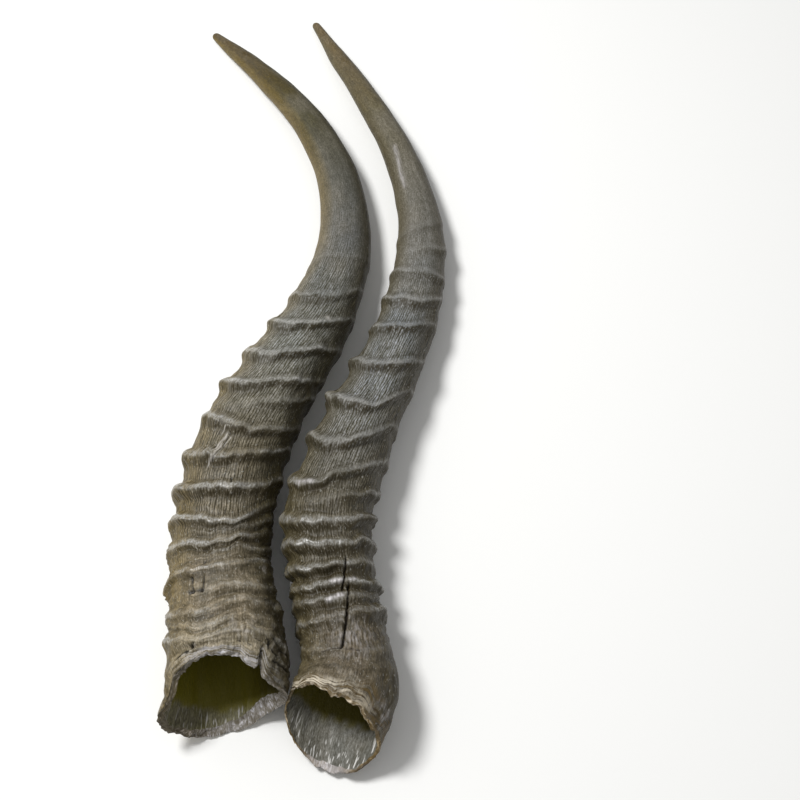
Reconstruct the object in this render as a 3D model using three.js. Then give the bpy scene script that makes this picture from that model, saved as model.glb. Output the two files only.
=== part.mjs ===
// A pair of springbok horns, lying side by side on their sides.
// Each horn is a hollow sheath that grew as one piece: an open, slanting base, a ringed lower
// part that leans forward, and a smooth upper part that sweeps over into a hooked point.
// Millimetres, +Z up. The points lie towards +Y and the fronts of the horns towards -X.
import * as THREE from 'three';

// Shape that both horns share
const SIDES = 22;
const FLATTENING = 0.88; // height of a cross-section over its width
const WALL_AT_RIM = 2.6; // thickness of the sheath at its open end
const WALL_INSIDE = 5; // thickness of the sheath further in
const WALL_GROWTH = 0.15; // share of the hollow over which the wall thickens
const HOLLOW_END = 205; // station where the hollow comes to a point
const FLANK_LENGTH = 15; // longest slope on the point side of a ring
const ROLL_LENGTH = 2.4; // reach of the rounded roll along a crest
const ROLL_SHARE = 0.4; // share of a ring's height that is in the roll
const STEP_LENGTH = 4.5; // longest drop on the base side of a ring
const VALLEY_SHARE = 0.35; // share of a ring's height that is cut below the mean surface
const POINT_RADIUS = 2; // rounding of the blunt point

// Rows of facets, as shares of the way from one ring to the next, from the last ring to the
// point, and from the rim to the end of the hollow
const RING_ROWS = [0, 0.12, 0.45, 0.76];
const POINT_ROWS = [
  0, 0.03, 0.07, 0.13, 0.21, 0.3, 0.4, 0.5, 0.6, 0.7, 0.79, 0.87, 0.93, 0.965, 0.985, 0.994, 0.998,
];
const HOLLOW_ROWS = [0.97, 0.9, 0.8, 0.66, 0.52, 0.38, 0.26, 0.16, 0.08, 0.03, 0];

// A station is a distance along a horn's axis, which starts just outside the base.
// axis: points of the axis from base to point. width: station and width of the mean surface.
// rim: stations of the edge of the base, at each of the course angles below.
// rings: stations of a crest at the course angles from the front over the top to the back, then
// its height at the front, top and back.
const COURSE_ANGLES = [0, 36, 72, 108, 144, 180, 225, 270, 315];
const LEFT_HORN = {
  place: [-25.91, -174.99],
  axis: [
    [-2.2, 0, 20.4], [-4.4, 37.8, 19], [-8.3, 75.5, 16.5], [-3.6, 112.6, 17.8], [10.7, 147.6, 17.6],
    [27.1, 181.6, 15.2], [36.5, 218.6, 10.5], [33.9, 256, 9.6], [20.1, 290.5, 9],
    [-1.6, 321.7, 6.3], [-29.4, 354, 2],
  ],
  width: [
    [0, 45.5], [26, 44.5], [50, 41], [74, 38], [108, 38.8], [154, 33.6], [209, 26.5], [249, 21.5],
    [294, 16.4], [336, 12], [364, 8], [376, 5.2], [384, 3.4],
  ],
  rim: [5, 17.5, 22.2, 22.2, 15, 11.5, 11, 5, 3.6],
  rings: [
    [34, 30, 27, 30, 29.5, 26, 2, 0.9, 1], [40, 36.5, 32, 35.5, 36, 35, 0, 0.9, 0],
    [45, 41, 38, 41.5, 41.5, 43, 2, 1.1, 0.8], [51, 49, 46, 48, 47.5, 52, 0, 0.8, 0.5],
    [57, 58, 56, 56.5, 60, 62, 2.2, 1.2, 0.6], [64, 64, 61.5, 64, 66, 71, 0, 0.3, 0.8],
    [71, 70, 67.5, 68.5, 74.5, 80, 2.4, 1.6, 0.6], [76, 75.5, 72.5, 74, 80, 87, 0, 0.2, 0.8],
    [81.5, 80.5, 78, 77.5, 87, 94, 3.2, 1.9, 0.7], [93, 92, 92, 93.5, 98.5, 107, 3.8, 2.1, 0.8],
    [108, 106, 105, 107.5, 115, 123, 3.4, 2, 0.8], [124, 122, 120, 120, 127, 134, 2.4, 1.8, 0.8],
    [132, 129, 127.5, 133.5, 142.5, 150, 0, 0.4, 1.2], [141, 138, 137.5, 145, 152, 160, 3.6, 2, 0.9],
    [158, 155, 154, 161, 170, 176, 3.8, 2.1, 0.9], [175, 172, 170.5, 177.5, 185, 192, 3, 1.6, 0.7],
    [193, 190, 189, 192.5, 201, 207, 1.4, 0.9, 0.5], [210, 212, 215, 217, 220, 222, 0.5, 0.3, 0.3],
  ],
};
const RIGHT_HORN = {
  place: [14.89, -187.29],
  axis: [
    [-7, 0, 16.4], [-3.6, 15, 17.4], [1.2, 35.7, 16], [-4.3, 67.1, 14.6], [-7.4, 99.6, 15.8],
    [1.2, 132.5, 15.8], [14.2, 166.1, 13.8], [26, 203, 11.4], [29.6, 244.2, 9.2],
    [19.8, 287.2, 8.6], [1.5, 328.2, 6.4], [-9.4, 349.2, 4.3], [-21.3, 373.4, 2],
  ],
  width: [
    [0, 31], [10, 36.6], [20, 40], [30, 39], [42, 34.4], [54, 32.4], [72, 32.6], [100, 35], [135, 31.9],
    [171, 27.6], [210, 24.4], [251, 20], [295, 14.9], [340, 11.1], [366, 8], [382, 5.2], [392, 3.2],
  ],
  rim: [21.5, 21.8, 21.3, 20.5, 15.2, 12.5, 4, 0.8, 7.5],
  rings: [
    [49, 43, 40, 38, 40, 44, 1, 0.5, 0.5], [58, 54.5, 53, 53.5, 54.5, 56, 1.8, 0.6, 2],
    [66, 63, 60.5, 61, 61, 62, 1.8, 1.1, 0.2], [73, 68.5, 66.3, 67.5, 67.5, 68, 2.8, 1.6, 1.8],
    [81, 77.5, 74, 75, 76.5, 77, 3.4, 1.8, 1.1], [90, 87.5, 84.7, 84, 85.5, 86.5, 3.2, 1.8, 1.6],
    [98.5, 96, 93.7, 94, 97, 101, 3, 1.8, 1.9], [105, 103, 101, 104.5, 110, 115.5, 0, 0.6, 1.4],
    [114, 109, 108, 116, 125, 131, 3.3, 2.2, 0.9], [132, 129, 126, 131, 143, 149, 3.4, 2.2, 0.9],
    [150, 148, 146, 148, 161, 167, 3.4, 2.2, 0.9], [171, 168.5, 167, 171, 177.5, 183, 2.8, 1.8, 0.8],
    [191, 188, 187.5, 191.5, 197, 200, 2.1, 1.5, 0.7], [208, 205.5, 204, 205.5, 209.5, 215, 1.7, 1.2, 0.8],
    [223, 222, 220, 221, 221.5, 224, 1.1, 0.8, 0.9], [231, 231, 231.5, 234.5, 236.5, 240, 0, 0.3, 0.9],
    [243, 243, 245, 247.5, 251, 255, 0.5, 0.5, 0.4],
  ],
};

const ANGLES = Array.from({ length: SIDES }, (_, side) => (side / SIDES) * 2 * Math.PI);

// A smooth curve through a table's rows of station and value
function alongTable(table, station) {
  const end = table.length - 1;
  let row = 0;
  while (row < end - 1 && station > table[row + 1][0]) row += 1;
  const [s0, v0] = table[row];
  const [s1, v1] = table[row + 1];
  const [sBefore, vBefore] = table[Math.max(row - 1, 0)];
  const [sAfter, vAfter] = table[Math.min(row + 2, end)];
  const t = THREE.MathUtils.clamp((station - s0) / (s1 - s0), 0, 1);
  const slope0 = ((v1 - vBefore) / (s1 - sBefore)) * (s1 - s0);
  const slope1 = ((vAfter - v0) / (sAfter - s0)) * (s1 - s0);
  return v0 + t * slope0 + t * t * (3 * (v1 - v0) - 2 * slope0 - slope1)
    + t * t * t * (slope0 + slope1 - 2 * (v1 - v0));
}

// A closed line round a horn, as angles in degrees and stations, with a spare row at each end.
// Unless it is given, the underside runs evenly from the back to the front.
function course(stations) {
  const [front, next] = stations;
  const back = stations[5];
  const under = [0.25, 0.5, 0.75].map((share) => THREE.MathUtils.lerp(back, front, share));
  const around = [...stations, ...under].slice(0, COURSE_ANGLES.length);
  const rows = around.map((station, i) => [COURSE_ANGLES[i], station]);
  return [[-45, around[8]], ...rows, [360, front], [396, next]];
}

// A rim or ring: its line round the horn and its height at the front, top and back
function edge(stations, heights = [0, 0, 0]) {
  return { line: course(stations), heights };
}

// Station of an edge at an angle round the horn: 0 is the front, a quarter turn the top
function edgeStation({ line }, angle) {
  return alongTable(line, THREE.MathUtils.radToDeg(angle));
}

function edgeHeight({ heights: [front, top, back] }, angle) {
  const level = THREE.MathUtils.lerp(back, front, (1 + Math.cos(angle)) / 2);
  const over = Math.max(0, Math.sin(angle)) ** 2;
  return level + over * (top - (front + back) / 2);
}

// The blunt point: how much of the width is left near the end
function rounding(distanceToEnd) {
  const share = THREE.MathUtils.clamp(distanceToEnd / POINT_RADIUS, 0, 1);
  return Math.sqrt(share * (2 - share));
}

// Height of the surface at a share of the way between two rings: a long slope down from the
// lower ring towards the point, then a short rise to the next crest
function relief(lower, upper, share, angle) {
  const gap = edgeStation(upper, angle) - edgeStation(lower, angle);
  const fromCrest = share * gap;
  const flank = Math.min(0.75 * gap, FLANK_LENGTH);
  const step = Math.min(0.25 * gap, STEP_LENGTH);
  const roll = Math.exp(-((fromCrest / ROLL_LENGTH) ** 2));
  const slope = THREE.MathUtils.lerp(Math.max(0, 1 - fromCrest / flank) ** 2, roll, ROLL_SHARE);
  const rise = THREE.MathUtils.smoothstep(fromCrest, gap - step, gap);
  const lowerHeight = edgeHeight(lower, angle);
  const upperHeight = edgeHeight(upper, angle);
  const valley = VALLEY_SHARE * THREE.MathUtils.lerp(lowerHeight, upperHeight, share);
  return lowerHeight * slope + upperHeight * rise - valley;
}

// One horn as a closed skin: from the end of the hollow out to the rim, then over the outside
// to the point. What would sink below the surface that it lies on is worn flat there.
function hornGeometry({ axis, width, rim, rings }) {
  const curve = new THREE.CatmullRomCurve3(axis.map((p) => new THREE.Vector3(...p)), false, 'catmullrom');
  const length = curve.getLength();
  const positions = [];
  const base = edge(rim);
  const point = edge(Array(6).fill(length));

  function addVertex(station, angle, halfWidth, halfHeight) {
    const along = THREE.MathUtils.clamp(station / length, 0, 1);
    const forward = curve.getTangentAt(along);
    const front = new THREE.Vector3(0, 0, 1).cross(forward).normalize();
    const up = forward.clone().cross(front);
    const vertex = curve.getPointAt(along)
      .addScaledVector(front, halfWidth * Math.cos(angle))
      .addScaledVector(up, halfHeight * Math.sin(angle));
    positions.push(vertex.x, vertex.y, Math.max(0, vertex.z));
  }

  function addHollowRow(share) {
    const thickening = Math.min(1, share / WALL_GROWTH);
    const wall = THREE.MathUtils.lerp(WALL_AT_RIM, WALL_INSIDE, thickening);
    const taper = 1 - share ** 3;
    for (const angle of ANGLES) {
      const station = THREE.MathUtils.lerp(edgeStation(base, angle), HOLLOW_END, share);
      const half = alongTable(width, station) / 2;
      addVertex(station, angle, (half - wall) * taper, (half * FLATTENING - wall) * taper);
    }
  }

  function addOuterRow(lower, upper, share) {
    for (const angle of ANGLES) {
      const station = THREE.MathUtils.lerp(edgeStation(lower, angle), edgeStation(upper, angle), share);
      const half = (alongTable(width, station) / 2) * rounding(length - station);
      const height = relief(lower, upper, share, angle);
      addVertex(station, angle, half + height, half * FLATTENING + height);
    }
  }

  const edges = [base, ...rings.map((row) => edge(row.slice(0, 6), row.slice(6))), point];
  addVertex(HOLLOW_END, 0, 0, 0);
  for (const share of HOLLOW_ROWS) addHollowRow(share);
  for (let i = 0; i + 2 < edges.length; i += 1) {
    for (const share of RING_ROWS) addOuterRow(edges[i], edges[i + 1], share);
  }
  for (const share of POINT_ROWS) addOuterRow(edges[edges.length - 2], point, share);
  addVertex(length, 0, 0, 0);

  const lastVertex = positions.length / 3 - 1;
  const rows = (lastVertex - 1) / SIDES;
  const vertexAt = (row, side) => 1 + row * SIDES + (side % SIDES);
  const index = [];
  for (let side = 0; side < SIDES; side += 1) {
    index.push(0, vertexAt(0, side + 1), vertexAt(0, side));
    for (let row = 0; row + 1 < rows; row += 1) {
      const [a, b] = [vertexAt(row, side), vertexAt(row, side + 1)];
      const [c, d] = [vertexAt(row + 1, side + 1), vertexAt(row + 1, side)];
      index.push(a, b, c, a, c, d);
    }
    index.push(vertexAt(rows - 1, side), vertexAt(rows - 1, side + 1), lastVertex);
  }

  const geometry = new THREE.BufferGeometry();
  geometry.setAttribute('position', new THREE.Float32BufferAttribute(positions, 3));
  geometry.setIndex(index);
  geometry.computeVertexNormals();
  return geometry;
}

// Dull grey-brown horn; the right one is a little browner
function hornMesh(name, horn, color) {
  const material = new THREE.MeshStandardMaterial({ color, roughness: 0.62, metalness: 0 });
  const mesh = new THREE.Mesh(hornGeometry(horn), material);
  mesh.name = name;
  mesh.position.set(horn.place[0], horn.place[1], 0);
  return mesh;
}

const pair = new THREE.Group();
pair.add(hornMesh('left_horn', LEFT_HORN, '#6e685c'));
pair.add(hornMesh('right_horn', RIGHT_HORN, '#6b6456'));

export default pair;
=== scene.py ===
import math
import bpy
import numpy as np
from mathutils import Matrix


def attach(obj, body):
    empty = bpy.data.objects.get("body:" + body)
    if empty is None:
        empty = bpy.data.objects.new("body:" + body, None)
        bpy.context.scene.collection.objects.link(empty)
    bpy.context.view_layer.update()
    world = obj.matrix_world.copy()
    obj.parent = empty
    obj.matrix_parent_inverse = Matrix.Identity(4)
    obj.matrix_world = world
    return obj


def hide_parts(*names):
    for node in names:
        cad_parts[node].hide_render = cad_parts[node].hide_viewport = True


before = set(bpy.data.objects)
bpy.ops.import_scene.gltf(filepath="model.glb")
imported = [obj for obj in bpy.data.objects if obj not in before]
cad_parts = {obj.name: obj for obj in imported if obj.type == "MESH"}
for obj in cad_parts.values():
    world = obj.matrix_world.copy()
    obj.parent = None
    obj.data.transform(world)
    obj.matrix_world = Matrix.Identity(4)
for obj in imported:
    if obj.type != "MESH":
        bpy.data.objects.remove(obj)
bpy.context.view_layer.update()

# Left horn
# A hollow sheath of keratin that grew as one piece over a bone core, now empty. It grew ring by
# ring from the base, so its lower part carries raised rings and its upper part is worn smooth.
# Sizes are in millimetres, and the main ones repeat those of the solid horn.
MM = 0.001
FLATTENING = 0.88
WALL_INSIDE = 5
WALL_GROWTH = 0.15
HOLLOW_END = 205
RIM_RADIUS = 20
HOLLOW_RADIUS = 18
RIM_RELIEF_FADE = (0, 0.06)
FLAKE_LAYERS = 5
POINT_RADIUS = 2
COURSE_ANGLES = [0, 36, 72, 108, 144, 180, 225, 270, 315]

# A ring rises in a short step on its base side, has a rounded roll at its crest and a long flank
# towards the point. Lower rings have fuller rolls with a thin line above them, and swell at the front.
STEP_LENGTH = 3.6
STEP_SHARE = 0.35
STEP_BEND = 2.2
ROLL_LENGTH = 2.8
ROLL_SHARE = 0.4
LOWER_ROLL_SHARE = 0.25
FLANK_LENGTH = 15
FLANK_SHARE = 0.75
VALLEY_SHARE = 0.35
FRONT_SWELL = 3.4
LINE_OFFSET = 3.9
LINE_SHARE = 0.18

# Marks on a ring by their distance from its crest: wear with a painted highlight just above it, and
# dirt with painted shade below it. A ring is dark below in full from the marked height on, and pale
# on its crest in full from the pale band height on.
PALE_BAND_OFFSET = 0.7
DARK_BAND_START = (0.2, 0.9)
DARK_BAND_FADE = (2, 7)
MARKED_HEIGHT = 1.2
PALE_BAND_HEIGHT = 1.5

# From which station to which these fade out towards the point. The last is counted from a horn's own
# creased_to.
RING_FADE = (180, 250)
ROLL_FADE = (100, 140)
LINE_FADE = (90, 130)
CREASE_FADE = (55, 120)
CREASED_END = (-20, 15)

# The grain's ridges lie side by side round the horn, and they close up less than the horn narrows.
# Creases follow the growth, where each ring counts as ten millimetres.
GRAIN_WIDTH = 8
GRAIN_SPREAD = 0.5
GRAIN_LENGTHWISE = 0.3
GROWTH_PER_RING = 10

# In the pattern of the layers each flake counts as this deep, and the edge's marks are drawn this far
# from the skin's
FLAKE_DEPTH = 1.5
EDGE_PATTERN_OFFSET = 50

# The mesh has columns round the horn, crowded on the upper side, and rows along it
SIDES = 192
CROWDING = 0.55
ROW_SPACING = 0.75
FEWEST_ROWS = 7
POINT_ROWS = 130
POINT_CROWDING = 1.5
HOLLOW_ROWS = 52
HOLLOW_CROWDING = 1.8
EDGE_ROWS = 8

# Random unevenness: its height, its wavelengths across the horn both ways and along it, and what is
# added to the horn's seed
UNEVENNESS = {
    "rings": (0.2, (9, 9, 40), 1), "swellings": (1, (16, 16, 22), 2), "flutes": (1, (1.5, 1.5, 10), 3),
    "creases": (1, (26, 26, 3), 4), "wander": (0.45, (8, 8, 30), 5), "ribs": (0.2, (3, 3, 40), 6),
    "cracks": (0.12, (2, 2, 3), 7), "rim": (0.3, (9, 9, 9), 8), "fine_rim": (0.15, (3, 3, 3), 9),
    "layers": (0.35, (22, 22, 30), 10), "fine_layers": (0.12, (5, 5, 6), 13),
    "torn_edge": (0.4, (5, 5, 9), 12), "frayed_edge": (0.35, (2.5, 2.5, 9), 17),
    "hollow_shadow": (1, (9, 9, 9), 14), "tufts": (0.7, (2.2, 2.2, 6), 15), "fine_tufts": (0.4, (1.2, 1.2, 3), 16),
}

# A station is a distance along a horn's axis, which starts just outside the base. Lists of nine go
# round the horn by the course angles, where 0 is the front and 90 the top: the rim's stations, the
# thickness of its edge, how far the edge leans in, how pale and how worn it is, and how far layers
# flake off it. A notch in the rim is an angle, a half width and a depth. The hollow is painted dark
# with its deep shadow from one station on, and the skin creased up to another. The flaked layers are
# together this deep. A ring has stations from the front over the top to the back, then heights at the
# front, top and back. A groove is a path of (station, angle), a half width and a depth. A lump is a
# station, angle, radius and height, and so is a rough patch of torn fibres. A path of wear is a path,
# a half width and a strength, where the horn is worn pale, and on the right horn beside the crack and
# near the point also painted with sheen. Stains are each a station, angle, radius and strength.
LEFT_HORN = {
    "place": (-25.91, -174.99),
    "axis": [
        (-2.2, 0, 20.4), (-4.4, 37.8, 19), (-8.3, 75.5, 16.5), (-3.6, 112.6, 17.8), (10.7, 147.6, 17.6),
        (27.1, 181.6, 15.2), (36.5, 218.6, 10.5), (33.9, 256, 9.6), (20.1, 290.5, 9),
        (-1.6, 321.7, 6.3), (-29.4, 354, 2),
    ],
    "width": [
        (0, 45.5), (26, 44.5), (50, 41), (74, 38), (108, 38.8), (154, 33.6), (209, 26.5), (249, 21.5),
        (294, 16.4), (336, 12), (364, 8), (376, 5.2), (384, 3.4),
    ],
    "rim": (5, 17.5, 22.2, 22.2, 15, 11.5, 11, 5, 3.6),
    "edge_wall": (2.6, 2.4, 1.5, 1.6, 2.2, 2.8, 2.8, 2, 2.2),
    "edge_lean": (1, 0.3, -0.7, -0.9, -0.4, 2, 5.5, 3.5, 2),
    "edge_pale": (0, 0.15, 0.85, 1, 0.4, 0.1, 0.9, 0.7, 0.1),
    "edge_rub": (0, 0, 0.2, 0.4, 0.1, 0, 0.3, 0.2, 0),
    "shadow_from": 13,
    "creased_to": 72,
    "flaking": (3, 4, 2, 2, 6, 8, 2, 1, 1.5),
    "layers": 1.6,
    "rings": [
        (34, 30, 27, 30, 29.5, 26, 2, 0.7, 1), (40, 36.5, 32, 35.5, 36, 35, 0, 0.6, 0),
        (45, 41, 38, 41.5, 41.5, 43, 2, 0.8, 0.8), (51, 49, 46, 48, 47.5, 52, 0, 0.6, 0.5),
        (57, 58, 56, 56.5, 60, 62, 1.8, 0.9, 0.6), (64, 64, 61.5, 64, 66, 71, 0, 0.3, 0.8),
        (71, 70, 67.5, 68.5, 74.5, 80, 2.4, 1.6, 0.6), (76, 75.5, 72.5, 74, 80, 87, 0, 0.2, 0.8),
        (81.5, 80.5, 78, 77.5, 87, 94, 3.2, 1.9, 0.7), (93, 92, 92, 93.5, 98.5, 107, 3.8, 2.1, 0.8),
        (108, 106, 105, 107.5, 115, 123, 3, 2, 0.8), (124, 122, 120, 120, 127, 134, 2.4, 1.8, 0.8),
        (132, 129, 127.5, 133.5, 142.5, 150, 0, 0.4, 1.2), (141, 138, 137.5, 145, 152, 160, 2.7, 2, 0.9),
        (158, 155, 154, 161, 170, 176, 2.6, 2.1, 0.9), (175, 172, 170.5, 177.5, 185, 192, 2, 1.6, 0.7),
        (193, 190, 189, 192.5, 201, 207, 0.9, 0.9, 0.5), (210, 212, 215, 217, 220, 222, 0.5, 0.3, 0.3),
    ],
    "front_rounding": 1.0,
    "notches": [(134, 1.2, 5.0), (28, 1.6, 1.8)],
    "grooves": [
        ([(23, 41), (24, 51), (24, 59), (26, 65)], 0.4, 1.0),
        ([(8, 18), (13, 29), (18, 36), (19, 44), (20, 60)], 0.45, 1.0),
        ([(24, 132), (20, 134), (16, 136)], 0.6, 1.6),
        ([(26, 105), (26, 116), (24, 126)], 0.3, 0.5),
        ([(28, 120), (27, 131)], 0.3, 0.5),
        ([(28, 138), (24, 145), (23, 155)], 0.4, 0.8),
        ([(29, 146), (26, 156), (25, 170)], 0.4, 0.7),
        ([(21, 147), (20, 160), (19, 172)], 0.4, 0.8),
        ([(54, 61), (48, 61)], 0.4, 0.9),
        ([(48.2, 58), (47.6, 74)], 0.7, 0.9),
        ([(47, 73), (53, 75)], 0.35, 0.9),
        ([(60, 78), (58, 72)], 0.3, 0.4),
        ([(97, 100), (95, 100)], 0.4, 0.5),
        ([(115, 83), (109, 80), (100, 70)], 0.25, 0.3),
        ([(86, 100), (80, 97)], 0.25, 0.3),
    ],
    "lumps": [(42, 168, 3.5, 1.4), (22, 172, 9, 1.3), (4, -6, 7, 2.2), (48, 118, 8, 0.7), (34, 85, 5, 0.5)],
    "rough": [(25, 152, 9, 0.32), (9, 8, 9, 0.5), (30, 110, 6, 0.15), (5, -35, 9, 0.4)],
    "stains": [(29, 26, 15, 0.5)],
    "wear_and_sheen_paths": [
        ([(116, 80), (109, 77), (101, 67)], 0.22, 0.8),
        ([(114, 86), (104, 75)], 0.2, 0.7),
        ([(113, 77), (107, 72)], 0.2, 0.7),
        ([(110, 79), (103, 71)], 0.2, 0.7),
        ([(118, 75), (113, 71)], 0.2, 0.7),
        ([(182, 116), (182, 121)], 0.9, 0.5),
        ([(57, 146), (56, 147)], 0.8, 0.6),
        ([(30, 103), (30, 119)], 0.5, 0.6),
        ([(25.5, 66), (23.3, 58), (23.3, 48)], 0.5, 0.6),
        ([(20.5, 64), (19.4, 56), (18.5, 44)], 0.6, 0.6),
    ],
    "seed": 11,
}


def along_table(table, at):
    """A smooth curve through a table's rows of place and value."""
    places, values = np.array(table, float).T
    end = len(places) - 1
    row = np.clip(np.searchsorted(places, at) - 1, 0, end - 1)
    before = np.maximum(row - 1, 0)
    after = np.minimum(row + 2, end)
    span = places[row + 1] - places[row]
    climb = values[row + 1] - values[row]
    t = np.clip((at - places[row]) / span, 0, 1)
    slope0 = (values[row + 1] - values[before]) / (places[row + 1] - places[before]) * span
    slope1 = (values[after] - values[row]) / (places[after] - places[row]) * span
    curve = t**2 * (3 * climb - 2 * slope0 - slope1) + t**3 * (slope0 + slope1 - 2 * climb)
    return values[row] + t * slope0 + curve


def smoothstep(value, low, high):
    t = np.clip((value - low) / (high - low), 0, 1)
    return t * t * (3 - 2 * t)


def bump(value, width):
    return np.exp(-((value / width) ** 2))


def fading(value, span):
    return 1 - smoothstep(value, *span)


def mixed(first, second, share):
    return first + (second - first) * share


def horn_axis(points, steps=80):
    """Points and stations close together along the horn's curved axis."""
    points = np.array(points, float)
    padded = np.vstack([2 * points[0] - points[1], points, 2 * points[-1] - points[-2]])
    t = np.linspace(0, 1, steps, endpoint=False)[:, None]
    stretches = []
    for a, b, c, d in zip(padded, padded[1:], padded[2:], padded[3:]):
        square = (a - 2.5 * b + 2 * c - d / 2) * t**2
        cube = (1.5 * (b - c) + (d - a) / 2) * t**3
        stretches.append(b + (c - a) / 2 * t + square + cube)
    line = np.vstack(stretches + [points[-1:]])
    stations = np.concatenate([[0], np.cumsum(np.linalg.norm(np.diff(line, axis=0), axis=1))])
    return line, stations


def round_horn(course, angle):
    """A list by course angle read at any angle, with an even underside where it has only six."""
    front, back = course[0], course[5]
    under = [mixed(back, front, share) for share in (0.25, 0.5, 0.75)]
    around = (list(course) + under)[:len(COURSE_ANGLES)]
    table = [(-45, around[8])] + list(zip(COURSE_ANGLES, around)) + [(360, front), (396, course[1])]
    return along_table(table, np.degrees(angle) % 360)


def ring_height(heights, angle):
    front, top, back = heights
    level = mixed(back, front, (1 + np.cos(angle)) / 2)
    return level + np.maximum(0, np.sin(angle)) ** 2 * (top - (front + back) / 2)


def waviness(place, wavelength, seed, waves=48):
    """A smooth random height of about unit size, with its own wavelength along each of three axes."""
    rng = np.random.default_rng(seed)
    turns = rng.normal(0, 0.7, (waves, 3)) * 2 * math.pi / np.array(wavelength)
    phase = rng.uniform(0, 2 * math.pi, waves)
    return np.cos(place @ turns.T + phase).sum(-1) * math.sqrt(2 / waves)


def turn_from(angle, degrees):
    return (angle - math.radians(degrees) + math.pi) % (2 * math.pi) - math.pi


def distance_to_path(station, angle, radius, path):
    """Distance over the skin from each point to a path of (station, angle in degrees)."""
    nearest = np.full(station.shape, 1e9)
    for (s0, a0), (s1, a1) in zip(path, path[1:]):
        x = station - s0
        y = turn_from(angle, a0) * radius
        dx = s1 - s0
        dy = math.radians(a1 - a0) * radius
        t = np.clip((x * dx + y * dy) / (dx * dx + dy * dy), 0, 1)
        nearest = np.minimum(nearest, np.hypot(x - t * dx, y - t * dy))
    return nearest


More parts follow.
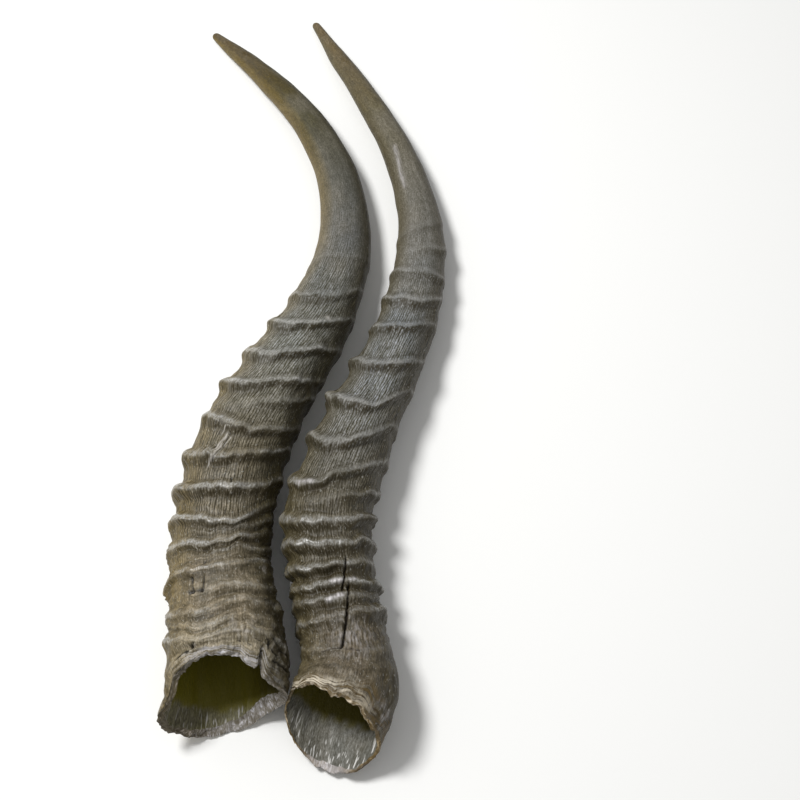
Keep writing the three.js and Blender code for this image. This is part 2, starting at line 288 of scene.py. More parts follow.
def horn_skin(horn):
    """Rows of points over a whole horn, from the end of its hollow to its point, with what its
    material needs to know of each."""
    line, stations = horn_axis(horn["axis"])
    length = stations[-1]
    seed = horn["seed"]
    even = np.arange(SIDES) * 2 * math.pi / SIDES - math.pi / 2
    angle = even + CROWDING * np.cos(even)
    front_side = horn["front_rounding"] * np.maximum(0, np.cos(angle)) ** 2

    def half_width(station):
        return along_table(horn["width"], station) / 2

    def fibre_place(station, radius):
        spread = np.broadcast_arrays(radius * np.cos(angle), radius * np.sin(angle), station + 0 * angle)
        return np.stack(spread, -1)

    def unevenness(name, place):
        height, wavelength, extra_seed = UNEVENNESS[name]
        return height * waviness(place, wavelength, seed + extra_seed)

    def points(station, raised, scale=1.0):
        left = np.clip((length - station) / POINT_RADIUS, 0, 1)
        half = half_width(station) * np.sqrt(left * (2 - left))
        at = np.clip(station, 0, length)
        middle = np.stack([np.interp(at, stations, line[:, k]) for k in range(3)], -1)
        ahead = np.stack([np.interp(np.minimum(at + 1, length), stations, line[:, k]) for k in range(3)], -1)
        behind = np.stack([np.interp(np.maximum(at - 1, 0), stations, line[:, k]) for k in range(3)], -1)
        forward = ahead - behind
        forward /= np.linalg.norm(forward, axis=-1, keepdims=True)
        front = np.cross([0, 0, 1.0], forward)
        front /= np.linalg.norm(front, axis=-1, keepdims=True)
        up = np.cross(forward, front)
        wide = (half + raised) * scale * np.cos(angle)
        high = (half * FLATTENING + raised) * scale * np.sin(angle)
        outside_axis = np.minimum(station, 0)[..., None] * forward
        return middle + outside_axis + front * wide[..., None] + up * high[..., None]

    # The rim is broken and a little uneven
    rim = round_horn(horn["rim"], angle)
    rim_place = fibre_place(0 * angle, RIM_RADIUS)
    rim = rim + unevenness("rim", rim_place) + unevenness("fine_rim", rim_place)
    for degrees, width, depth in horn["notches"]:
        rim = rim + depth * bump(turn_from(angle, degrees) * RIM_RADIUS, width)

    # Outside, ring by ring
    edges = [(rim, np.zeros(SIDES))]
    for row in horn["rings"]:
        edges.append((round_horn(row[:6], angle), ring_height(row[6:], angle)))
    edges.append((np.full(SIDES, length), np.zeros(SIDES)))
    bands = []
    for number, ((start, low), (end, high)) in enumerate(zip(edges, edges[1:])):
        gap = end - start
        last = number == len(edges) - 2
        rows = POINT_ROWS if last else max(FEWEST_ROWS, round(gap.mean() / ROW_SPACING))
        share = (np.arange(rows) / rows)[:, None]
        if last:
            share = 1 - (1 - share) ** POINT_CROWDING
        above = share * gap
        below = gap - above
        station = start + above
        uneven = 1 + unevenness("rings", fibre_place(station, half_width(station)))
        flank = np.minimum(FLANK_SHARE * gap, FLANK_LENGTH)
        step = np.minimum(STEP_SHARE * gap, STEP_LENGTH)
        lower = fading(station, ROLL_FADE)
        roll = np.exp(-((above / ROLL_LENGTH) ** 4))
        rolled = ROLL_SHARE + LOWER_ROLL_SHARE * lower
        slope = mixed(np.maximum(0, 1 - above / flank) ** 2, roll, rolled)
        stepped = 1 - np.clip(below / step, 0, 1) ** STEP_BEND
        rise = mixed(stepped, bump(below, FRONT_SWELL), front_side)
        fall = mixed(slope, bump(above, FRONT_SWELL), front_side * lower)
        valley = VALLEY_SHARE * mixed(low, high, share)
        line_above = LINE_SHARE * low * bump(above - LINE_OFFSET, 0.9) * fading(station, LINE_FADE)
        relief = (low * fall + high * rise) * uneven - valley - line_above
        low_marked = np.clip(low / MARKED_HEIGHT, 0, 1)
        high_marked = np.clip(high / MARKED_HEIGHT, 0, 1)
        # A pale band on each crest: wear with a painted highlight
        pale = np.maximum(low * bump(above - PALE_BAND_OFFSET, 0.85), high * bump(below, 0.5))
        # Below each crest a dark band of dirt and painted shade under the step, and above each lower roll a
        # thin dark line of painted shade in its groove
        dark_band_below = high_marked * smoothstep(below, *DARK_BAND_START) * fading(below, DARK_BAND_FADE)
        dark_line_above = np.clip(low / 2.5, 0, 0.5) * bump(above - LINE_OFFSET, 0.6)
        grime_and_shade = (dark_band_below + dark_line_above) * (1 - 0.7 * front_side)
        on_roll = np.maximum(low_marked * bump(above - PALE_BAND_OFFSET, 2), high_marked * bump(below, 0.9))
        number_here = number + share + 0 * angle
        crest = np.clip(pale / PALE_BAND_HEIGHT, 0, 1)
        bands.append((station, relief, crest, grime_and_shade, on_roll, number_here))
    station, relief, crest, grime_and_shade, on_roll, ring = (np.vstack(column) for column in zip(*bands))
    turn = np.broadcast_to(angle, station.shape)
    rim_gap = station - rim
    radius = half_width(station)
    place = fibre_place(station, radius)
    grain_round = turn * (GRAIN_WIDTH + GRAIN_SPREAD * radius)
    grain = np.stack([grain_round, 0 * turn, GRAIN_LENGTHWISE * station], -1)

    # Growth leaves the rings uneven, with shallow flutes along the horn and creases across it
    ringed = fading(station, RING_FADE)
    low_part = fading(station, CREASE_FADE)
    across = np.stack([place[..., 0], place[..., 1], ring * GROWTH_PER_RING], -1)
    relief = relief + unevenness("swellings", place) * (0.08 + 0.2 * ringed)
    relief = relief + unevenness("flutes", place) * (0.015 + 0.05 * ringed)
    relief = relief + unevenness("creases", across) * ringed * (0.05 + 0.2 * low_part)
    creased = fading(station - horn["creased_to"], CREASED_END)
    stroked = (1 - 0.75 * creased) * mixed(0.22, 1, ringed) * (1 - 0.75 * on_roll)
    station = station + unevenness("wander", place) * ringed * smoothstep(rim_gap, 0, 10)

    # Lumps, stains, torn fibres, cracks and worn spots. Cracks, grooves and the hollows among torn fibres
    # are painted dark with dirt and painted shade, and some worn spots pale with painted sheen.
    jitter = unevenness("cracks", place)
    tufts = unevenness("tufts", place) + unevenness("fine_tufts", place)

    def spot(at, degrees, reach):
        return bump(np.hypot(station - at, turn_from(turn, degrees) * radius), reach)

    def stripe(path, width):
        return bump(np.maximum(0, distance_to_path(station, turn, radius, path) + jitter), width)

    groove = np.zeros(station.shape)
    wear_and_sheen = np.zeros(station.shape)
    for at, degrees, reach, height in horn["lumps"]:
        relief = relief + height * spot(at, degrees, reach)
    for at, degrees, reach, strength in horn["stains"]:
        grime_and_shade = np.maximum(grime_and_shade, strength * spot(at, degrees, reach))
    for at, degrees, reach, height in horn["rough"]:
        patch = spot(at, degrees, reach)
        relief = relief + height * patch * tufts
        wear_and_sheen = np.maximum(wear_and_sheen, 0.35 * patch * np.clip(tufts, 0, 1))
        groove = np.maximum(groove, 0.5 * patch * np.clip(-tufts - 0.4, 0, 1))
    for path, width, depth in horn["grooves"]:
        near = stripe(path, width)
        relief = relief - depth * near
        groove = np.maximum(groove, near * min(1, 0.3 + depth))
    # Paths of wear painted pale; beside the right horn's crack and near its point they stand for a painted
    # sheen too
    for path, width, strength in horn["wear_and_sheen_paths"]:
        wear_and_sheen = np.maximum(wear_and_sheen, strength * stripe(path, width))

    # Layers flake off along the rim, each set back a little farther than the one below it
    flaky_width = round_horn(horn["flaking"], angle)
    flaky = fading(rim_gap, (0.5 * flaky_width, 1.2 * flaky_width))
    uneven = unevenness("layers", place) + unevenness("fine_layers", place)
    layer = rim_gap / flaky_width * FLAKE_LAYERS + uneven * np.minimum(1, rim_gap)
    layer = np.clip(layer, 0, FLAKE_LAYERS)
    in_layer = layer - np.floor(layer)
    stair = np.floor(layer) + smoothstep(in_layer, 0, 0.35)
    upper_side = smoothstep(np.sin(angle), -0.2, 0.4)
    relief = relief - horn["layers"] * upper_side * (1 - stair / FLAKE_LAYERS)
    # A dark line of painted shade on each flaking layer's step
    step_edge = bump(in_layer - 0.12, 0.14) * (layer < FLAKE_LAYERS)
    groove = np.maximum(groove, 0.55 * flaky * step_edge * smoothstep(rim_gap, 0.3, 1))

    # Inside, from the rim in to the end of the hollow
    share = (np.linspace(0, 1, HOLLOW_ROWS, endpoint=False) ** HOLLOW_CROWDING)[:, None]
    edge_wall = round_horn(horn["edge_wall"], angle)
    inner_rim = rim + round_horn(horn["edge_lean"], angle)
    hollow_station = mixed(inner_rim, HOLLOW_END, share)
    wall = mixed(edge_wall, WALL_INSIDE, np.minimum(1, share / WALL_GROWTH))
    ribs = unevenness("ribs", fibre_place(hollow_station, HOLLOW_RADIUS))
    hollow_relief = relief[:1] * fading(share, RIM_RELIEF_FADE) - wall + ribs

    # The broken edge of the wall between the two
    out = np.linspace(0.01, 0.99, EDGE_ROWS)[:, None]
    edge_place = fibre_place(0 * out, RIM_RADIUS + 3 * out)
    edge_bulge = 4 * out * (1 - out)
    torn = edge_bulge * (unevenness("torn_edge", edge_place) - 0.2)
    frayed = edge_bulge * unevenness("frayed_edge", edge_place)
    edge_station = mixed(inner_rim, station[:1], out) + torn
    edge_relief = mixed(hollow_relief[:1], relief[:1], out) + frayed
    hollow = points(hollow_station, hollow_relief, 1 - share**3)
    edge = points(edge_station, edge_relief)
    outside = points(station, relief)
    shift = np.array(horn["place"] + (0,))
    skin = np.concatenate([hollow[::-1], edge, outside]) + shift
    skin[..., 2] = np.maximum(skin[..., 2], 0)
    ends = np.stack([points(np.full(SIDES, float(at)), 0, 0.0)[0] for at in (HOLLOW_END, length)]) + shift

    def joined(inner, middle, outer):
        shapes = (hollow_station.shape, edge_station.shape, station.shape)
        parts = [np.broadcast_to(part, shape) for part, shape in zip((inner, middle, outer), shapes)]
        return np.concatenate([parts[0][::-1], parts[1], parts[2]])

    # Fibres show end on where the edge is cut square, so its marks run round the rim there
    bevelled = smoothstep(round_horn(horn["edge_lean"], angle), 1, 4)
    edge_depth = edge_wall * (1 - out)
    edge_round = RIM_RADIUS * angle * mixed(0.2, 1, bevelled) + 0 * out
    edge_across = EDGE_PATTERN_OFFSET + edge_depth * mixed(1, 0.12, bevelled)
    edge_fibre = np.stack([edge_across, edge_round, edge_station], -1)
    hollow_fibre = fibre_place(hollow_station, half_width(hollow_station) - wall)
    # Painted shadow: from one station in, the hollow is painted dark, with an uneven edge
    past_shadow_start = hollow_station - horn["shadow_from"]
    hollow_shadow = smoothstep(past_shadow_start + unevenness("hollow_shadow", hollow_fibre), -2, 2)
    around = RIM_RADIUS * np.cos(angle), RIM_RADIUS * np.sin(angle)
    depth_in_wall = joined(edge_wall, edge_depth, -layer * FLAKE_DEPTH)
    facts = {
        "fibre": np.concatenate([hollow_fibre[::-1], edge_fibre, place]),
        "growth": np.concatenate([hollow_fibre[::-1], edge_fibre, across]),
        "grain": np.concatenate([hollow_fibre[::-1], edge_fibre, grain]),
        "stroked": joined(1, 1, stroked),
        "creased": joined(0, 0, creased),
        "strata": np.stack([joined(*[around[0]] * 3), joined(*[around[1]] * 3), depth_in_wall], -1),
        "crest": joined(0, 0, crest),
        "grime_and_shade": joined(0, 0, grime_and_shade),
        "groove": joined(0, 0, groove),
        "wear_and_sheen": joined(0, round_horn(horn["edge_rub"], angle), wear_and_sheen),
        "flaky": joined(0, 1, flaky),
        "edge_pale": joined(*[round_horn(horn["edge_pale"], angle)] * 3),
        "inside": joined(1, 0.5, 0),
        "hollow_shadow": joined(hollow_shadow, 0, 0),
        "rim_gap": joined(hollow_station - inner_rim, 0, rim_gap),
        "along": joined(hollow_station, edge_station, station) / length,
        "facing": joined(*[np.cos(angle)] * 3),
    }
    return skin, ends, facts


def horn_object(name, horn):
    """One closed mesh from the rows of points, in metres, with the facts kept as attributes."""
    skin, ends, facts = horn_skin(horn)
    rows = len(skin)
    corner = np.arange(rows * SIDES).reshape(rows, SIDES)
    beside = np.roll(corner, -1, axis=1)
    quads = np.stack([corner[:-1], beside[:-1], beside[1:], corner[1:]], -1).reshape(-1, 4)
    hollow_end = rows * SIDES
    point = hollow_end + 1
    fans = [(hollow_end, int(b), int(a)) for a, b in zip(corner[0], beside[0])]
    fans += [(int(a), int(b), point) for a, b in zip(corner[-1], beside[-1])]
    mesh = bpy.data.meshes.new(name)
    vertices = np.vstack([skin.reshape(-1, 3), ends]) * MM
    mesh.from_pydata(vertices.tolist(), [], quads.tolist() + fans)
    mesh.polygons.foreach_set("use_smooth", np.ones(len(mesh.polygons), bool))
    for fact, values in facts.items():
        flat = values.reshape(rows * SIDES, -1)
        flat = np.vstack([flat, flat[:1], flat[-1:]])
        kind, field = ("FLOAT_VECTOR", "vector") if flat.shape[1] == 3 else ("FLOAT", "value")
        mesh.attributes.new(fact, kind, "POINT").data.foreach_set(field, flat.ravel())
    mesh.update()
    piece = bpy.data.objects.new(name, mesh)
    bpy.context.collection.objects.link(piece)
    return piece


def to_linear(hex_colour):
    """An sRGB hex colour as linear RGBA."""
    parts = [int(hex_colour[i:i + 2], 16) / 255 for i in (1, 3, 5)]
    return tuple(p / 12.92 if p <= 0.04045 else ((p + 0.055) / 1.055) ** 2.4 for p in parts) + (1.0,)


def add(tree, kind, links=(), **settings):
    """A node with its settings and its input links or values."""
    made = tree.nodes.new(kind)
    for key, value in settings.items():
        setattr(made, key, value)
    for socket, source in dict(links).items():
        if isinstance(source, bpy.types.NodeSocket):
            tree.links.new(source, made.inputs[socket])
        else:
            made.inputs[socket].default_value = source
    return made


# The ridges are about a millimetre apart, and the wave texture repeats every pi / 10
RIDGE_SPACING = 1.05
RIDGE_WAVER = 6.0
WAVE_PERIOD = math.pi / 10

# A shade becomes a tint that is olive where it is dark and a cool grey where it is light
TINT_SLOPE = (1, 1.03, 1.2)
TINT_START = (0, -0.03, -0.2)

# The sockets of a mix node for colours: its share, its two colours and its result
MIX_SHARE = 0
MIX_FIRST = 6
MIX_SECOND = 7
MIX_RESULT = 2

# How keratin shines, and the height of its finest relief
KERATIN_IOR = 1.54
KERATIN_SPECULAR = 0.3
FIBRE_RELIEF = 0.3


def weathered_keratin(name, colours):
    """Dry horn keratin, weathered outdoors: satin grey-brown, streaked along its fibres, paler on ring
    crests with wear and a painted highlight, dark under the rings and in cracks with dirt and painted
    shade, speckled with painted glints, pale with wear and painted sheen on a few spots, flaking at the
    rim and painted dark with shadow inside. A painted yellow reflection lies along the front side and
    painted shade along the back side."""
    material = bpy.data.materials.new(name)
    material.use_nodes = True
    tree = material.node_tree
    tree.nodes.clear()
    amount = {}
    facts = ["crest", "grime_and_shade", "groove", "wear_and_sheen", "flaky", "edge_pale", "stroked", "creased"]
    facts += ["inside", "hollow_shadow", "rim_gap", "along", "facing"]
    for fact in facts:
        amount[fact] = add(tree, "ShaderNodeAttribute", attribute_name=fact).outputs["Fac"]

    # Noises: what each follows, its scale along the fibres, the size of its marks in mm, and detail
    noises = {
        "strokes": ("fibre", 0.2, 0.6, 0.6), "hairs": ("fibre", 0.4, 0.4, 0.5),
        "pits": ("fibre", 0.5, 1.8, 2.0), "bands": ("fibre", 0.06, 4.0, 2.0),
        "wrinkles": ("growth", 3.0, 5.0, 3.0), "grit": ("fibre", 0.7, 0.5, 1.0),
        "mottle": ("fibre", 0.6, 11.0, 3.0), "flecks": ("fibre", 0.6, 0.6, 2.0),
        "streaks": ("fibre", 0.13, 0.75, 0.5), "strata": ("strata", 9.0, 8.0, 3.0),
    }
    for noise, (follows, lengthwise, size, detail) in noises.items():
        where = add(tree, "ShaderNodeAttribute", attribute_name=follows).outputs["Vector"]
        scaled = add(tree, "ShaderNodeVectorMath", {0: where, 1: (1, 1, lengthwise)}, operation="MULTIPLY")
        drawn = {"Vector": scaled.outputs[0], "Scale": 1 / size, "Detail": detail}
        amount[noise] = add(tree, "ShaderNodeTexNoise", drawn).outputs["Fac"]

    # Fine ridges along the horn, side by side, that waver a little
    grain = add(tree, "ShaderNodeAttribute", attribute_name="grain").outputs["Vector"]
    waver = {"Vector": grain, "Scale": WAVE_PERIOD / RIDGE_SPACING}
    waver.update({"Distortion": RIDGE_WAVER, "Detail Scale": 1.6})
    amount["ridges"] = add(tree, "ShaderNodeTexWave", waver).outputs["Fac"]

    # Amounts read from a fact or noise: its range, and the range that this becomes
    ranges = {
        "stroke_dark": ("stroked", 0.0, 1.0, 1.0, 0.7), "stroke_light": ("stroked", 0.0, 1.0, 1.0, 1.25),
        "stroke_shade": ("strokes", 0.36, 0.5, "stroke_dark", 1.05),
        "glint_shade": ("strokes", 0.54, 0.68, 1.0, "stroke_light"),
        "ridge_dark": ("stroked", 0.0, 1.0, 1.0, 0.18), "ridge_light": ("stroked", 0.0, 1.0, 1.0, 1.12),
        "ridge_shade": ("ridges", 0.0, 0.42, "ridge_dark", "ridge_light"),
        "wrinkle_dark": ("creased", 0.0, 1.0, 1.0, 0.6), "wrinkle_light": ("creased", 0.0, 1.0, 1.0, 1.25),
        "wrinkle_shade": ("wrinkles", 0.36, 0.6, "wrinkle_dark", "wrinkle_light"),
        "pit_shade": ("pits", 0.36, 0.64, 0.88, 1.12),
        "hair_dark": ("stroked", 0.2, 1.0, 0.82, 0.72), "hair_light": ("stroked", 0.2, 1.0, 1.16, 1.25),
        "hair_shade": ("hairs", 0.3, 0.7, "hair_dark", "hair_light"),
        "band_shade": ("bands", 0.35, 0.65, 0.9, 1.1), "grit_shade": ("grit", 0.36, 0.64, 0.8, 1.2),
        # The front amount lays a painted yellow reflection along the front side
        "patches": ("mottle", 0.4, 0.7, 0.0, 0.5), "front": ("facing", 0.4, 1.0, 0.0, 0.8),
        # The back amount lays painted shade along the back side, away from the soft box
        "back": ("facing", -0.38, -0.9, 0.0, 0.9), "dark_band_gaps": ("flecks", 0.42, 0.66, 0.95, 0.4),
        "crest_gaps": ("flecks", 0.38, 0.6, 0.2, 1.0), "crest_patches": ("mottle", 0.36, 0.6, 0.2, 1.0),
        # The glint spots are small painted glints over the ringed part
        "ringed": ("along", 0.5, 0.65, 1.0, 0.25), "glint_spots": ("flecks", 0.63, 0.72, 0.0, 0.35),
        "wear_and_sheen_gaps": ("strokes", 0.35, 0.6, 0.4, 1.0), "crack": ("groove", 0.15, 0.75, 0.0, 0.95),
        "layer_pale": ("strata", 0.46, 0.6, 0.0, 1.0), "layer_dark": ("strata", 0.52, 0.38, 0.0, 0.7),
        "flake_reach": ("rim_gap", 0.8, 5.0, 0.9, 0.25), "hollow_shade": ("strokes", 0.36, 0.64, 0.78, 1.25),
        "edge_strokes": ("strokes", 0.4, 0.62, 0.35, 1.0), "streak": ("streaks", 0.62, 0.7, 0.0, 0.9),
        "streak_reach": ("rim_gap", 3.0, 12.0, 1.0, 0.08), "at_edge": ("inside", 0.1, 0.4, 0.0, 1.0),
        "in_hollow": ("inside", 0.6, 0.9, 0.0, 1.0), "gloss": ("crest", 0.0, 0.8, 0.52, 0.27),
        "relief": ("crest", 0.0, 0.8, 0.6, 0.25), "edge_specks": ("flecks", 0.58, 0.44, 0.0, 0.8),
    }
    for result, (source, low, high, least, most) in ranges.items():
        least = amount.get(least, least)
        most = amount.get(most, most)
        values = {0: amount[source], 1: low, 2: high, 3: least, 4: most}
        amount[result] = add(tree, "ShaderNodeMapRange", values).outputs[0]

    # Amounts that hold only where two others meet
    products = {
        "dirty_and_shaded": ("grime_and_shade", "dark_band_gaps"), "crest_wear_and_highlight": ("crest", "crest_gaps"),
        "crest_pale": ("crest_wear_and_highlight", "crest_patches"), "painted_glints": ("glint_spots", "ringed"),
        "wear_and_sheen_marks": ("wear_and_sheen", "wear_and_sheen_gaps"), "flake_pale": ("flake_reach", "layer_pale"),
        "flake_edge": ("flake_pale", "flaky"), "flake_light": ("flake_edge", "edge_pale"),
        "flake_dark": ("flaky", "layer_dark"), "edge_light": ("edge_pale", "edge_strokes"),
        "streaked": ("streak", "streak_reach"), "deep_back": ("hollow_shadow", "back"),
    }
    for result, (first, second) in products.items():
        pair = {0: amount[first], 1: amount[second]}
        amount[result] = add(tree, "ShaderNodeMath", pair, operation="MULTIPLY").outputs[0]

    # Colour along the horn, from the base to the point
    body = add(tree, "ShaderNodeValToRGB", {0: amount["along"]})
    stops = body.color_ramp.elements
    for stop, (position, colour) in zip(stops, (colours["body"][0], colours["body"][-1])):
        stop.position = position
        stop.color = to_linear(colour)
    for position, colour in colours["body"][1:-1]:
        stops.new(position).color = to_linear(colour)

    # Three surfaces, each with its base colour, the coats under the fibres' light and dark, the shades
    # that make the light and dark, and the coats over them
    surfaces = {
        "outside": (
            body.outputs[0], [("patches", "mottle"), ("front", "front_reflection"), ("back", "back_shade")],
            [
                "ridge_shade", "stroke_shade", "glint_shade", "wrinkle_shade", "hair_shade", "pit_shade",
                "band_shade", "grit_shade",
            ],
            [
                # Over the fibres: dirt with painted shade under the rings, crests worn pale with a painted
                # highlight, painted glints, the layers at the rim, wear with painted sheen, and cracks dark
                # with dirt and painted shade
                ("dirty_and_shaded", "grime_and_shade"), ("crest_pale", "crest"), ("painted_glints", "painted_glint"),
                ("flake_light", "edge_pale"), ("flake_dark", "edge_dark"),
                ("wear_and_sheen_marks", "wear_and_sheen"), ("crack", "crack"),
            ],
        ),
        "edge": (
            to_linear(colours["edge_dark"]), [("layer_pale", "edge_middle"), ("edge_light", "edge_pale")],
            ["hair_shade", "hollow_shade"],
            [("layer_dark", "edge_dark"), ("edge_specks", "edge_dark"), ("wear_and_sheen_marks", "wear_and_sheen")],
        ),
        "hollow": (
            to_linear(colours["hollow"]), [("patches", "mottle")], ["hair_shade", "hollow_shade"],
            # Inside: pale streaks, then painted shadow deep in the hollow, and painted shade on its back
            # side
            [("streaked", "hollow_streak"), ("hollow_shadow", "hollow_deep"), ("deep_back", "back_shade")],
        ),
    }
    painted = {}
    for surface, (colour, under, shades, over) in surfaces.items():
        for share, coat in under:
            coats = {MIX_SHARE: amount[share], MIX_FIRST: colour, MIX_SECOND: to_linear(colours[coat])}
            colour = add(tree, "ShaderNodeMix", coats, data_type="RGBA").outputs[MIX_RESULT]
        for shade in shades:
            warmed = {0: amount[shade], 1: TINT_SLOPE, 2: TINT_START}
            tint = add(tree, "ShaderNodeVectorMath", warmed, operation="MULTIPLY_ADD").outputs[0]
            colour = add(tree, "ShaderNodeVectorMath", {0: colour, 1: tint}, operation="MULTIPLY").outputs[0]
        for share, coat in over:
            coats = {MIX_SHARE: amount[share], MIX_FIRST: colour, MIX_SECOND: to_linear(colours[coat])}
            colour = add(tree, "ShaderNodeMix", coats, data_type="RGBA").outputs[MIX_RESULT]
        painted[surface] = colour
    skin = painted["outside"]
    for share, surface in (("at_edge", "edge"), ("in_hollow", "hollow")):
        sides = {MIX_SHARE: amount[share], MIX_FIRST: skin, MIX_SECOND: painted[surface]}
        skin = add(tree, "ShaderNodeMix", sides, data_type="RGBA").outputs[MIX_RESULT]

    both = {0: amount["strokes"], 1: amount["flecks"]}
    roughened = add(tree, "ShaderNodeMath", both, operation="ADD").outputs[0]
    relief = {"Strength": amount["relief"], "Distance": FIBRE_RELIEF * MM, "Height": roughened}
    raised = add(tree, "ShaderNodeBump", relief)
    shading = {"Base Color": skin, "Roughness": amount["gloss"], "Normal": raised.outputs[0]}
    shading.update({"IOR": KERATIN_IOR, "Specular IOR Level": KERATIN_SPECULAR})
    shader = add(tree, "ShaderNodeBsdfPrincipled", shading)
    add(tree, "ShaderNodeOutputMaterial", {0: shader.outputs[0]})
    return material


LEFT_COLOURS = {
    "body": [
        (0.04, "#b3a78d"), (0.1, "#7f735d"), (0.16, "#6d634f"), (0.23, "#645b48"), (0.3, "#665f4e"),
        (0.43, "#747570"), (0.6, "#5a5a57"), (0.8, "#3e391e"), (1, "#4b3802"),
    ],
    "mottle": "#6d685c",
    # Dirt with painted shade under the rings
    "grime_and_shade": "#2a2209",
    # Crests worn pale, with a painted highlight
    "crest": "#a2a19d",
    # Painted glints
    "painted_glint": "#b9b8b2",
    # A painted yellow reflection along the front side
    "front_reflection": "#6b5a2a",
    # Painted shade along the back side
    "back_shade": "#2f290e",
    # Wear, and on the right horn a painted sheen
    "wear_and_sheen": "#b9b4ad",
    "edge_pale": "#b3b2b6",
    "edge_middle": "#83796a",
    "edge_dark": "#4d442f",
    # Dirt and painted shade in cracks, grooves and flake steps
    "crack": "#171204",
    "hollow": "#5c5838",
    "hollow_streak": "#a3a09a",
    # Painted shadow deep in the hollow
    "hollow_deep": "#665f14",
}
left_horn = horn_object("left_horn_sheath", LEFT_HORN)
left_horn.data.materials.append(weathered_keratin("weathered_grey_keratin", LEFT_COLOURS))
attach(left_horn, "root")
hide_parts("left_horn")

# Right horn
# The other sheath of the pair, grown as one piece: slimmer, with close sharp rings above a narrow
# neck, a long drying crack through them, and a flaking tan rim that ends in a tongue underneath.
RIGHT_HORN = {
    "place": (14.89, -187.29),
    "axis": [
        (-7, 0, 16.4), (-3.6, 15, 17.4), (1.2, 35.7, 16), (-4.3, 67.1, 14.6), (-7.4, 99.6, 15.8),
        (1.2, 132.5, 15.8), (14.2, 166.1, 13.8), (26, 203, 11.4), (29.6, 244.2, 9.2),
        (19.8, 287.2, 8.6), (1.5, 328.2, 6.4), (-9.4, 349.2, 4.3), (-21.3, 373.4, 2),
    ],
    "width": [
        (0, 31), (10, 36.6), (20, 40), (30, 39), (42, 34.4), (54, 32.4), (72, 32.6), (100, 35), (135, 31.9),
        (171, 27.6), (210, 24.4), (251, 20), (295, 14.9), (340, 11.1), (366, 8), (382, 5.2), (392, 3.2),
    ],
    "rim": (21.5, 21.8, 21.3, 20.5, 15.2, 12.5, 2.8, 1, 6.3),
    "edge_wall": (0.8, 1.3, 1.4, 1.5, 1.8, 1.6, 1.3, 1.5, 0.7),
    "edge_lean": (0.3, -0.3, -0.6, -0.6, 0, 0.4, 0.6, 2.6, 0.5),
    "edge_pale": (0.6, 1, 1, 0.6, 0.2, 0.1, 0.1, 0.3, 0.15),
    "edge_rub": (0, 0, 0, 0, 0, 0, 0.1, 0.95, 0.05),
    "shadow_from": 22,
    "creased_to": 52,
    "flaking": (2, 3, 4.5, 8, 11, 10, 3, 1.5, 1.5),
    "layers": 1.1,
    "rings": [
        (49, 43, 40, 38, 40, 44, 1, 0.5, 0.5), (58, 54.5, 53, 53.5, 54.5, 56, 1.8, 0.6, 2),
        (66, 63, 60.5, 61, 61, 62, 1.8, 1.1, 0.2), (73, 68.5, 66.3, 67.5, 67.5, 68, 2.8, 1.6, 1.8),
        (81, 77.5, 74, 75, 76.5, 77, 3.4, 1.8, 1.1), (90, 87.5, 84.7, 84, 85.5, 86.5, 3.2, 1.8, 1.6),
        (98.5, 96, 93.7, 94, 97, 101, 3, 1.8, 1.9), (105, 103, 101, 104.5, 110, 115.5, 0, 0.6, 1.4),
        (114, 109, 108, 116, 125, 131, 3.3, 2.2, 0.9), (132, 129, 126, 131, 143, 149, 3.4, 2.2, 0.9),
        (150, 148, 146, 148, 161, 167, 3.4, 2.2, 0.9), (171, 168.5, 167, 171, 177.5, 183, 2.8, 1.8, 0.8),
        (191, 188, 187.5, 191.5, 197, 200, 2.1, 1.5, 0.7),
        (208, 205.5, 204, 205.5, 209.5, 215, 1.7, 1.2, 0.8),
        (223, 222, 220, 221, 221.5, 224, 1.1, 0.8, 0.9), (231, 231, 231.5, 234.5, 236.5, 240, 0, 0.3, 0.9),
        (243, 243, 245, 247.5, 251, 255, 0.5, 0.5, 0.4),
    ],
    "front_rounding": 0.8,
    "notches": [(120, 3.0, 0.8), (60, 2.5, 0.7)],
    "grooves": [
        ([(78, 111), (72, 107), (68, 103), (64, 99)], 0.32, 1.6),
        ([(66, 109), (61, 105), (57, 102), (50, 95), (44, 88), (40, 84)], 0.4, 2.0),
        ([(40, 57), (40, 73), (40, 85), (39, 96), (38, 105)], 0.35, 0.4),
        ([(52, 118), (50, 132)], 0.3, 0.3),
    ],
    "lumps": [(56, 160, 3, 1.0), (70, 176, 3, 0.8), (30, 160, 6, 0.9)],
    "rough": [(21, 150, 6, 0.15), (44, 100, 8, 0.12)],
    "stains": [(22, 170, 13, 0.6)],
    # Beside the crack and near the point these paths carry painted sheen as well as wear
    "wear_and_sheen_paths": [
        ([(68, 86), (68, 99)], 0.8, 1.0),
        ([(68, 111), (69, 121)], 0.7, 0.8),
        ([(60.5, 80), (61.5, 96)], 0.9, 1.0),
        ([(108.5, 44), (108, 68)], 0.8, 0.6),
        ([(46, 101), (43, 104)], 0.4, 0.6),
        ([(296, 76), (279, 60), (272, 62)], 0.9, 0.4),
    ],
    "seed": 41,
}
RIGHT_COLOURS = dict(LEFT_COLOURS)
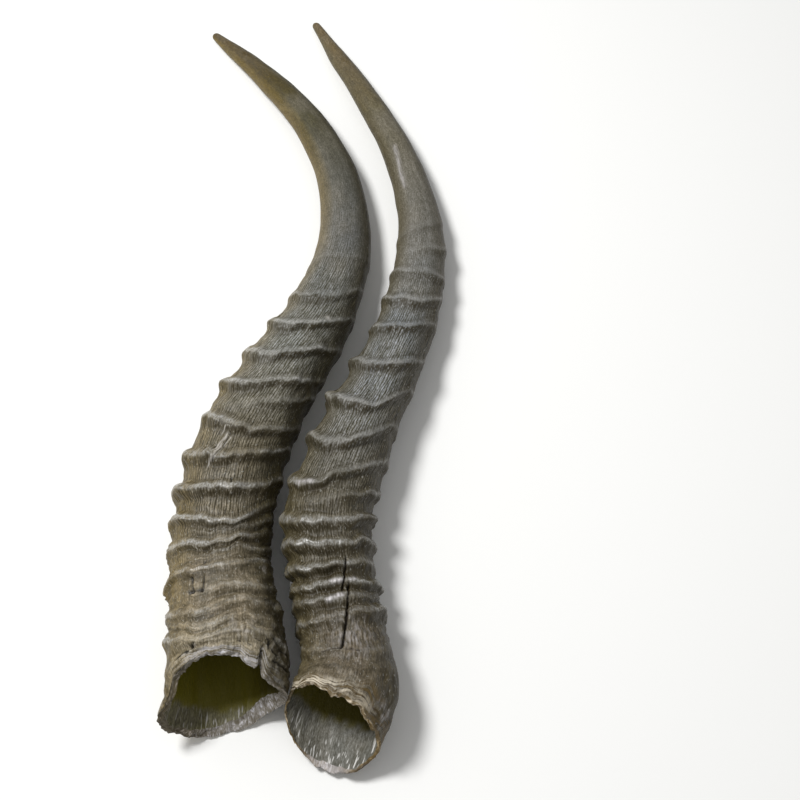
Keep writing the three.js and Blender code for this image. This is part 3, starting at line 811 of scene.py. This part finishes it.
RIGHT_COLOURS.update({
    "body": [
        (0.05, "#5f5440"), (0.1, "#574d3c"), (0.18, "#4d4738"), (0.26, "#565041"), (0.36, "#70706d"),
        (0.47, "#6c6f70"), (0.62, "#6b6963"), (0.82, "#57503a"), (1, "#5c481a"),
    ],
    # Crests worn pale, with a painted highlight
    "crest": "#92918d",
    # A painted yellow reflection along the front side
    "front_reflection": "#5c5338",
    # Painted shade along the back side
    "back_shade": "#2e2500",
    # Wear, with a painted sheen
    "wear_and_sheen": "#c9c5c6",
    # Dirt and painted shade in the crack and grooves
    "crack": "#20170a",
    "edge_pale": "#d3c8b3",
    "edge_middle": "#806d4a",
    "edge_dark": "#57451f",
    "hollow": "#605f57",
    "hollow_streak": "#d2d0cc",
    # Painted shadow deep in the hollow
    "hollow_deep": "#50490c",
})
right_horn = horn_object("right_horn_sheath", RIGHT_HORN)
right_horn.data.materials.append(weathered_keratin("weathered_brown_keratin", RIGHT_COLOURS))
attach(right_horn, "root")
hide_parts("right_horn")

# Floor
# A plain studio floor under the pair, rolled with pale matt paint. It gives the eye an even white
# ground that takes soft shadows and no reflections.
FLOOR_SIZE = 20.0
FLOOR_DROP = 0.0002
floor_mesh = bpy.data.meshes.new("studio_floor")
far = FLOOR_SIZE / 2
corners = [(x * far, y * far, -FLOOR_DROP) for x, y in ((-1, -1), (1, -1), (1, 1), (-1, 1))]
floor_mesh.from_pydata(corners, [], [(0, 1, 2, 3)])
floor = bpy.data.objects.new("studio_floor", floor_mesh)
bpy.context.collection.objects.link(floor)
matt_white = bpy.data.materials.new("matt_white_paint")
matt_white.use_nodes = True
paint = matt_white.node_tree.nodes["Principled BSDF"]
paint.inputs["Base Color"].default_value = to_linear("#f4f4f2")
paint.inputs["Roughness"].default_value = 0.9
floor_mesh.materials.append(matt_white)

# Light
# A soft box above the front side of the horns and a little towards their points, in an even pale room.
ROOM_STRENGTH = 0.42
SOFT_BOX_SIZE = 0.3
SOFT_BOX_POWER = 10
SOFT_BOX_PLACE = (-0.45, 0.1, 0.95)
SOFT_BOX_TILT = (-6, -25.3, 0)
world = bpy.data.worlds.new("pale_room")
world.use_nodes = True
room = world.node_tree.nodes["Background"]
room.inputs["Color"].default_value = to_linear("#ffffff")
room.inputs["Strength"].default_value = ROOM_STRENGTH
bpy.context.scene.world = world
soft_box = bpy.data.lights.new("soft_box", "AREA")
soft_box.shape = "DISK"
soft_box.size = SOFT_BOX_SIZE
soft_box.energy = SOFT_BOX_POWER
soft_box_object = bpy.data.objects.new("soft_box", soft_box)
soft_box_object.location = SOFT_BOX_PLACE
soft_box_object.rotation_euler = [math.radians(degrees) for degrees in SOFT_BOX_TILT]
bpy.context.collection.objects.link(soft_box_object)

# Camera
# The photograph's view: sixty degrees above the floor, looking from the bases to the points, with
# colours shown as they are lit.
CAMERA_ELEVATION = 60
CAMERA_DISTANCE = 0.63
CAMERA_TARGET = (0.03539, -0.03599, 0.018)
CAMERA_LENS = 69.3
CAMERA_SENSOR = 36
camera = bpy.data.cameras.new("camera")
camera.lens = CAMERA_LENS
camera.sensor_width = CAMERA_SENSOR
camera_object = bpy.data.objects.new("camera", camera)
lean = math.radians(CAMERA_ELEVATION)
camera_object.location = (
    CAMERA_TARGET[0],
    CAMERA_TARGET[1] - CAMERA_DISTANCE * math.cos(lean),
    CAMERA_TARGET[2] + CAMERA_DISTANCE * math.sin(lean),
)
camera_object.rotation_euler = (math.radians(90 - CAMERA_ELEVATION), 0, 0)
bpy.context.collection.objects.link(camera_object)
bpy.context.scene.camera = camera_object
bpy.context.scene.view_settings.view_transform = "Standard"
